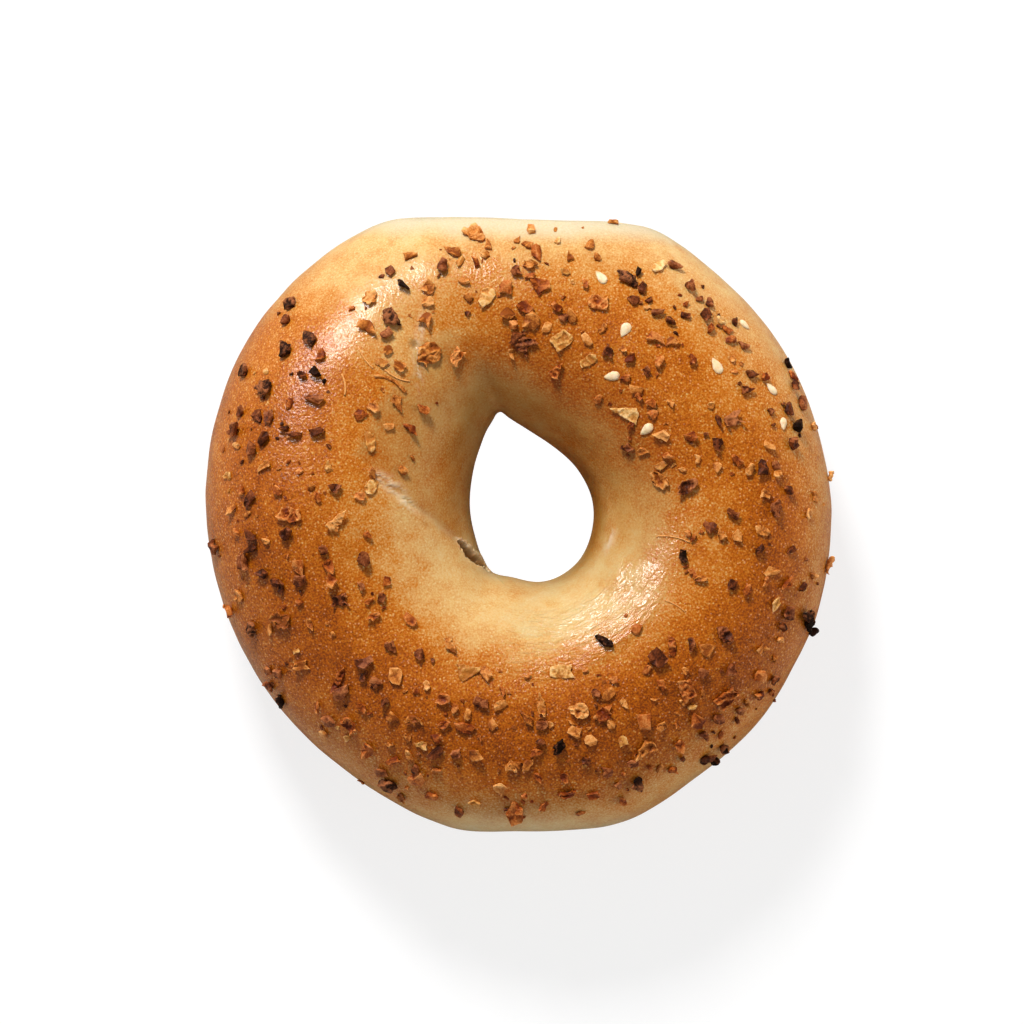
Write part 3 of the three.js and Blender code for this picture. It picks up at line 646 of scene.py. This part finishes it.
SMALL_CRUMBS = {  # x, y and length
    "tan": [
        (-11.5, 47.1, 2.6), (-6.0, 46.7, 1.8), (-9.6, 42.2, 2.4), (-16.2, 38.3, 2.2), (-16.4, 35.5, 2.2),
        (-8.7, 39.2, 1.8), (-1.9, 36.4, 4.0), (-1.4, 29.9, 1.6), (-23.0, 30.3, 1.8), (-26.2, 34.0, 2.6),
        (-25.3, 20.5, 2.2), (-22.6, 16.9, 2.0), (-20.5, 9.2, 2.2), (-25.5, 8.7, 2.0), (-36.2, 6.5, 2.2),
        (-44.2, 10.1, 2.4), (-48.9, 13.7, 1.8), (-49.9, 2.6, 2.6), (-47.2, 1.9, 2.0), (-19.0, 46.4, 2.6),
        (-5.5, 48.3, 2.0), (1.9, 51.0, 1.8), (-0.5, 49.2, 1.2), (1.4, 48.3, 1.6), (8.7, 46.2, 1.8),
        (12.2, 48.5, 2.0), (13.2, 46.2, 1.8), (22.0, 37.4, 1.4), (1.9, 35.2, 2.4), (4.5, 34.1, 1.8),
        (8.9, 35.9, 2.0), (11.7, 31.7, 2.0), (17.8, 30.4, 1.6), (20.5, 23.2, 2.2), (26.0, 21.0, 1.8),
        (24.9, 15.3, 2.8), (21.4, 12.6, 2.4), (30.8, 11.4, 1.6), (28.3, 9.4, 1.6), (34.2, 9.8, 1.6),
        (36.7, 28.6, 1.4), (42.3, 5.2, 2.4), (43.0, 13.5, 2.4), (50.9, 17.0, 1.4), (51.1, 5.0, 2.4),
        (49.8, 1.7, 2.4), (41.9, -1.1, 3.0), (39.7, 9.4, 2.4), (44.5, 8.7, 2.2), (37.6, -2.2, 2.0),
        (31.4, -9.5, 2.6), (43.5, -8.2, 2.4), (50.9, -9.0, 1.6), (45.0, -20.0, 1.6), (41.9, -21.5, 2.8),
        (44.1, -23.3, 1.8), (32.1, -21.9, 2.8), (28.6, -25.4, 1.6), (39.3, -30.9, 1.8),
        (15.2, -29.6, 3.0), (17.9, -30.9, 1.5), (23.1, -30.3, 1.4), (27.9, -30.7, 1.4),
        (31.6, -29.2, 1.4), (24.4, -34.7, 1.7), (15.6, -34.6, 2.0), (8.9, -34.4, 1.2), (5.4, -34.7, 1.2),
        (1.2, -33.6, 2.2), (9.5, -35.9, 2.4), (12.1, -37.7, 2.4), (1.4, -41.4, 2.2), (24.2, -42.1, 1.4),
        (-0.8, -41.7, 2.4), (-43.9, -2.9, 2.0), (-48.7, -12.7, 2.6), (-43.3, -18.3, 1.6),
        (-36.3, -17.2, 2.4), (-32.3, -19.0, 1.4), (-38.0, -24.5, 2.6), (-21.5, -26.1, 2.4),
        (-34.0, -36.5, 1.8), (-22.4, -38.3, 1.6), (-19.2, -37.0, 1.6), (-9.0, -32.9, 1.8),
        (-16.0, -27.9, 1.8), (-3.5, -31.3, 2.6), (-4.6, -34.7, 2.0), (-5.8, -26.1, 2.2),
        (-19.4, -40.0, 2.2), (-7.8, -39.7, 2.2), (-3.7, -45.6, 2.4)],
    "toasted": [
        (-7.6, 45.1, 1.6), (-2.3, 41.2, 3.0), (-29.0, 37.3, 1.2), (-34.4, 29.0, 2.8), (-39.9, 21.2, 2.2),
        (-27.6, 18.9, 3.0), (-16.9, 19.9, 2.4), (-27.6, 4.7, 2.0), (-41.9, 5.6, 1.8), (-38.0, 9.2, 1.2),
        (-40.1, 11.0, 1.2), (-35.1, 4.7, 2.0), (-48.1, 5.8, 1.6), (2.7, 47.0, 2.4), (11.3, 41.5, 2.0),
        (3.2, 41.3, 2.8), (1.7, 42.9, 2.0), (1.0, 37.4, 2.6), (6.3, 37.4, 2.0), (-1.0, 34.5, 2.0),
        (18.3, 25.3, 1.5), (23.8, 28.0, 2.2), (22.9, 32.3, 2.8), (29.7, 28.4, 2.2), (20.5, 22.1, 1.4),
        (13.5, 21.8, 2.0), (22.9, 21.0, 2.4), (22.9, 19.0, 2.4), (19.4, 17.2, 1.8), (29.7, 15.1, 2.2),
        (28.6, 38.0, 1.2), (35.6, 33.7, 2.0), (32.7, 33.5, 1.8), (36.4, 31.7, 2.0), (37.1, 26.4, 1.4),
        (42.3, 25.3, 1.6), (47.4, 25.6, 1.8), (37.5, 11.1, 2.6), (29.2, -1.6, 1.8), (30.1, -2.3, 1.4),
        (29.9, -8.6, 2.0), (39.3, -11.5, 2.0), (42.6, -9.9, 2.0), (20.3, -18.0, 2.0), (22.0, -25.0, 2.0),
        (41.5, -26.3, 2.8), (43.5, -29.0, 1.6), (41.3, -29.6, 2.2), (11.3, -25.5, 1.2), (1.2, -26.5, 1.5),
        (16.3, -27.0, 1.4), (24.6, -27.9, 2.2), (31.0, -34.0, 3.0), (21.3, -33.8, 3.4), (2.7, -39.5, 2.4),
        (3.2, -43.6, 1.8), (7.8, -43.8, 2.0), (17.6, -47.8, 2.0), (17.8, -43.4, 1.2), (22.4, -42.1, 1.4),
        (26.4, -42.5, 2.4), (27.5, -38.2, 2.0), (34.7, -36.6, 1.4), (13.0, -46.9, 2.2), (4.1, -48.7, 2.4),
        (10.4, -50.2, 1.6), (-0.3, -49.1, 3.0), (0.8, -47.1, 1.2), (0.3, -51.0, 1.2), (-49.0, -1.3, 1.6),
        (-26.4, -1.8, 2.0), (-33.3, -7.2, 3.0), (-38.0, -7.2, 2.6), (-32.6, -9.7, 2.4),
        (-23.0, -10.0, 1.8), (-26.2, -13.3, 1.6), (-25.3, -16.1, 2.2), (-38.3, -13.6, 1.4),
        (-50.1, -15.0, 2.0), (-18.9, -17.0, 2.4), (-27.3, -31.8, 1.6), (-34.9, -31.7, 2.0),
        (-26.2, -39.0, 3.0), (-14.2, -37.0, 2.0), (-13.3, -34.7, 2.6), (-9.2, -35.4, 3.0),
        (-13.3, -30.2, 2.4), (-11.3, -31.7, 1.6), (-18.0, -29.0, 1.4), (-3.0, -29.0, 1.8),
        (-21.9, -40.9, 2.2), (-14.4, -42.5, 2.0), (-18.3, -44.0, 3.6), (-0.8, -49.9, 3.4)],
    "dark": [
        (-13.5, 44.7, 2.5), (-9.2, 36.5, 1.2), (-0.6, 43.7, 2.2), (-0.8, 32.3, 2.4), (-22.5, 43.7, 2.0),
        (-23.2, 32.8, 2.4), (-40.5, 35.3, 1.6), (-37.7, 25.8, 1.8), (-35.8, 21.7, 2.8),
        (-48.4, 19.3, 2.2), (-45.5, 18.7, 2.2), (-43.3, 18.5, 3.0), (-49.3, 16.2, 2.8),
        (-44.2, 14.9, 2.4), (-46.0, 13.0, 2.6), (-40.5, 16.7, 2.0), (-38.9, 15.5, 2.4),
        (-35.1, 16.0, 3.2), (-31.9, 6.3, 2.2), (-46.7, 4.0, 3.0), (19.6, 38.9, 1.8), (22.4, 38.7, 1.2),
        (20.9, 40.7, 1.8), (23.5, 36.5, 2.2), (26.0, 35.0, 2.0), (28.8, 35.9, 1.6), (31.0, 38.9, 1.4),
        (32.7, 38.1, 2.0), (31.9, 35.9, 2.2), (37.1, 35.0, 1.6), (38.6, 30.8, 1.8), (7.6, 35.9, 1.8),
        (22.0, 26.4, 1.8), (34.3, 17.9, 2.0), (40.0, 25.8, 2.0), (43.4, 19.5, 1.4), (46.3, 19.9, 2.6),
        (48.9, 20.8, 2.4), (47.4, 23.8, 2.6), (46.9, 13.7, 2.2), (41.9, 9.8, 3.0), (44.3, 10.3, 1.4),
        (46.3, 5.9, 1.6), (33.0, -0.5, 2.0), (41.3, -4.4, 1.8), (47.0, -4.4, 1.8), (48.9, -10.8, 1.9),
        (46.5, -15.6, 2.2), (45.2, -17.8, 1.8), (23.5, -23.3, 3.4), (31.8, -25.7, 2.0),
        (36.5, -25.0, 2.0), (43.9, -27.0, 1.8), (13.2, -29.2, 2.2), (34.0, -33.6, 2.0),
        (38.0, -32.2, 2.4), (37.5, -34.0, 1.6), (3.8, -34.7, 2.0), (3.4, -37.5, 2.0), (11.3, -40.8, 1.7),
        (15.0, -42.9, 2.2), (19.4, -41.4, 2.0), (17.0, -45.2, 1.8), (28.1, -40.5, 1.4),
        (31.8, -36.6, 1.7), (32.3, -40.7, 2.4), (-46.5, -2.2, 2.4), (-46.4, -4.2, 2.0),
        (-40.5, -1.8, 2.8), (-53.1, -4.0, 3.0), (-27.3, -5.8, 2.4), (-38.0, -9.7, 2.6),
        (-27.6, -10.9, 1.6), (-24.0, -12.6, 2.0), (-42.2, -10.0, 2.0), (-17.4, -22.5, 2.0),
        (-43.5, -25.6, 1.8), (-41.7, -25.9, 2.4), (-43.5, -27.9, 2.0), (-26.9, -23.8, 2.8),
        (-24.8, -27.5, 2.0), (-23.5, -30.8, 2.2), (-27.3, -26.7, 1.2), (-30.6, -29.0, 3.0),
        (-33.0, -34.0, 2.4), (-6.9, -30.8, 2.4), (-18.0, -42.2, 2.0), (-14.6, -39.7, 3.0),
        (-11.0, -39.9, 2.6), (-24.2, -42.9, 2.4), (-10.4, -49.7, 2.2)],
    "charred": [
        (-36.4, 32.0, 2.2), (-35.2, 26.1, 2.0), (-47.8, 26.5, 2.3), (47.6, 16.8, 2.0), (20.5, 43.6, 1.3)],
    "pale": [
        (-10.6, 45.3, 1.8), (-44.0, 26.5, 1.2), (-50.8, 8.3, 1.8), (6.5, 49.0, 1.6), (7.8, 43.7, 1.6),
        (34.7, 35.2, 2.0), (24.4, 10.2, 1.6), (33.0, 20.5, 1.2), (44.3, -13.6, 2.6), (29.7, -31.6, 1.7),
        (17.6, -37.5, 1.8), (11.1, -42.1, 1.0), (-38.7, -22.0, 1.6), (-29.9, -37.0, 1.6),
        (-17.1, -38.3, 2.0), (-12.1, -19.7, 1.2)]}
DUST = 0.55  # the share of small crumbs that shed a still smaller one beside them
CRUMB_LOOKS = {  # finish, slot, and how thick the crumbs are
    "tan": (onion_finishes["tan"], "onion_tan", 0.75),
    "toasted": (onion_finishes["toasted"], "onion_toasted", 0.9),
    "dark": (onion_finishes["dark"], "onion_dark", 1.2),
    "charred": (charred_finish, "charred", 1.5),
    "pale": (garlic_finish, "garlic", 0.6)}


def angular(skin, chance, length, width, thick):
    """Turns a unit ball into a chip with a random outline of three to five straight sides."""
    count = chance.choice((3, 4, 4, 5))
    sides = [(360 / count * (side + chance.uniform(-0.25, 0.25)), chance.uniform(0.42, 0.8))
             for side in range(count)]
    for vertex in skin.verts:
        level = vertex.co.xy
        if level.length > 1e-6:
            way = level.normalized()
            edge = min(gap / max(0.12, way.dot(heading(side))) for side, gap in sides)
            level = way * min(1.0, edge) * level.length ** 0.4
        vertex.co = Vector((level.x * length / 2, level.y * width / 2, vertex.co.z * thick / 2)) * MM


def crumb(large, chance, x, y, length, width, thick, turn):
    """One dried crumb lying on the crust, with its rims and its painted light and shade."""
    skin = bmesh.new()
    if large:
        bmesh.ops.create_icosphere(skin, subdivisions=3, radius=1)
    else:
        bmesh.ops.create_uvsphere(skin, u_segments=9, v_segments=5, radius=1)
    angular(skin, chance, length, width, thick)
    place, up, _, _ = crust_tree.ray_cast(Vector((x, y, 90)) * MM, Vector((0, 0, -1)))
    if place is None:
        place, up, _, _ = crust_tree.find_nearest(Vector((x, y, 20)) * MM)
    stand = up.to_track_quat("Z", "Y").to_matrix().to_4x4()
    pose = Matrix.Translation(place) @ stand @ Matrix.Rotation(math.radians(turn), 4, "Z")
    bmesh.ops.transform(skin, matrix=pose, verts=skin.verts)
    share = length / 3.0
    rims, relief_shading = dried(skin, chance.random(), flat=1.0, curl=0.45 * share, crumple=0.22 * share,
                        ragged=0.34 * share, lean=20, sink=0.12)
    return skin, rims, relief_shading


for kind, (finish, slot_name, thickness) in CRUMB_LOOKS.items():
    chance = random.Random("crumbs " + kind)
    together, all_rims, all_relief_shading, batches = bmesh.new(), [], [], []
    places = [(True, *row) for row in LARGE_CRUMBS[kind]]
    for x, y, length in SMALL_CRUMBS[kind]:
        length = 1.3 * length + 0.4
        places.append((False, x, y, length, length * chance.uniform(0.45, 0.95), chance.uniform(0, 180)))
        if chance.random() < DUST:
            aside = heading(chance.uniform(0, 360)) * chance.uniform(1.6, 3.4)
            places.append((False, x + aside.x, y + aside.y, chance.uniform(0.9, 1.5),
                           chance.uniform(0.6, 1.0), chance.uniform(0, 180)))
    for large, x, y, length, width, turn in places:
        if large:
            length, width = 1.12 * length, 1.12 * width
        thick = thickness * chance.uniform(0.6, 1.2) * min(1.0, length / 2.8)
        skin, rims, relief_shading = crumb(large, chance, x, y, length, width, thick, turn)
        gather(together, skin)
        all_rims += rims
        all_relief_shading += relief_shading
        batches += [0.9 * chance.random() - 0.1] * len(rims)
    crumbs = as_object("crumbs_" + kind, together)
    crumbs.data.shade_flat()
    point_values(crumbs, "rim", all_rims)
    point_values(crumbs, "tone", all_relief_shading)
    point_values(crumbs, "batch", batches)
    crumbs.data.materials.append(finish)
    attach(crumbs, "root")


# ------------------------------------------------------------------ studio
# A plain pale floor and a white surround. A window-like soft box on the far side lights the bread,
# a card to its left shows only in the gloss, and a white card on the right fills the shade. The
# camera looks straight down from well above, so the ring hardly narrows with height.
FLOOR_SIZE = 6.0
FLOOR_BOUNCE = (0.92, 0.92, 0.92)  # the paper as the bread sees it
FLOOR_SHEEN = (0.38, 0.32, 0.24)  # the paper as it shows in the gloss
FLOOR_SHADE = (0.24, 0.24, 0.24)  # the paper as the camera sees it, with the painted glow added
# To the camera alone the paper glows, brightest under the hole: painted light that keeps the shadow faint.
FLOOR_GLOW = 0.775  # the painted glow round the bread, which keeps the shadow faint
HOLE_GLOW = 1.0  # the painted glow under the hole, which hides the shade there
GLOW_REACH = (25 * MM, 34 * MM)  # it falls from one to the other between these distances
FLOOR_DROP = 0.05 * MM  # keeps the floor just clear of the underside
SOFT_BOXES = [  # name, size, distance, power, bearing, and degrees above the floor
    ("window", 0.24, 1.2, 17.0, 107, 42), ("gloss_card", 0.36, 1.2, 12.0, 131, 43),
    ("white_card", 0.9, 1.5, 7.0, 350, 10)]
GLOSS_TINT = (0.96, 0.95, 1.0)
SURROUND = [(0.0, 1.0), (0.25, 0.66), (0.6, 0.36), (1.0, 0.22)]  # brightness by height, 1 being overhead
SHEEN = (0.2, 0.2, 0.2, 1)  # how much of the surround shows in the gloss: the rest is darkened for glossy rays only
LENS = 360.0
SENSOR = 36.0
VIEW_WIDTH = 179.4 * MM  # how much the camera sees across, level with the ring's waist
CAMERA_AIM = Vector((-1.4 * MM, 2.1 * MM, 16.5 * MM))

floor_skin = bmesh.new()
bmesh.ops.create_grid(floor_skin, x_segments=1, y_segments=1, size=FLOOR_SIZE / 2,
                      matrix=Matrix.Translation((0, 0, -FLOOR_DROP)))
floor = as_object("floor", floor_skin)
pale_floor = bpy.data.materials.new("pale_floor")
pale_floor.use_nodes = True
paper = pale_floor.node_tree
paper.nodes.clear()
path = add(paper, "ShaderNodeLightPath").outputs
bounce = mixed(paper, path["Is Glossy Ray"], (*FLOOR_BOUNCE, 1), (*FLOOR_SHEEN, 1))
matt = add(paper, "ShaderNodeBsdfDiffuse", {"Color": bounce})
thin = add(paper, "ShaderNodeBsdfDiffuse", {"Color": (*FLOOR_SHADE, 1)})
on_floor = add(paper, "ShaderNodeTexCoord").outputs["Object"]
reach = add(paper, "ShaderNodeVectorMath", {0: on_floor}, operation="LENGTH").outputs["Value"]
# Painted glow seen only by the camera, brightest under the hole.
painted_glow = spread(paper, reach, *GLOW_REACH, HOLE_GLOW, FLOOR_GLOW)
glow_shader = add(paper, "ShaderNodeEmission", {"Strength": painted_glow})
lit = add(paper, "ShaderNodeAddShader", {0: thin.outputs[0], 1: glow_shader.outputs[0]})
shown = add(paper, "ShaderNodeMixShader", {0: path["Is Camera Ray"], 1: matt.outputs[0], 2: lit.outputs[0]})
add(paper, "ShaderNodeOutputMaterial", {"Surface": shown.outputs[0]})
floor.data.materials.append(pale_floor)

world = bpy.data.worlds.new("white_surround")
world.use_nodes = True
bpy.context.scene.world = world
sky = world.node_tree
direction = add(sky, "ShaderNodeTexCoord").outputs["Generated"]
height = add(sky, "ShaderNodeSeparateXYZ", {"Vector": direction}).outputs["Z"]
glow = ramp(sky, height, [(share, (level, level, level)) for share, level in SURROUND])
path = add(sky, "ShaderNodeLightPath").outputs
glow = mixed(sky, path["Is Glossy Ray"], glow, mixed(sky, 1.0, glow, SHEEN, "MULTIPLY"))
glow = mixed(sky, path["Is Camera Ray"], glow, (1, 1, 1, 1))
sky.links.new(glow, sky.nodes["Background"].inputs["Color"])

for lamp_name, size, distance, power, bearing, height in SOFT_BOXES:
    soft_box = bpy.data.objects.new(lamp_name, bpy.data.lights.new(lamp_name, "AREA"))
    soft_box.data.size = size
    soft_box.data.energy = power
    rise = math.radians(height)
    towards = Vector((*(heading(bearing) * math.cos(rise)), math.sin(rise)))
    soft_box.location = towards * distance
    soft_box.rotation_euler = towards.to_track_quat("Z", "Y").to_euler()
    gloss_only = lamp_name == "gloss_card"
    soft_box.visible_glossy = gloss_only
    soft_box.visible_diffuse = not gloss_only
    soft_box.data.color = GLOSS_TINT if gloss_only else (1, 1, 1)
    bpy.context.scene.collection.objects.link(soft_box)

camera = bpy.data.objects.new("camera", bpy.data.cameras.new("camera"))
camera.data.lens = LENS
camera.data.sensor_width = SENSOR
camera.location = CAMERA_AIM + Vector((0, 0, VIEW_WIDTH * LENS / SENSOR))
bpy.context.scene.collection.objects.link(camera)
bpy.context.scene.camera = camera
bpy.context.scene.view_settings.view_transform = "Standard"
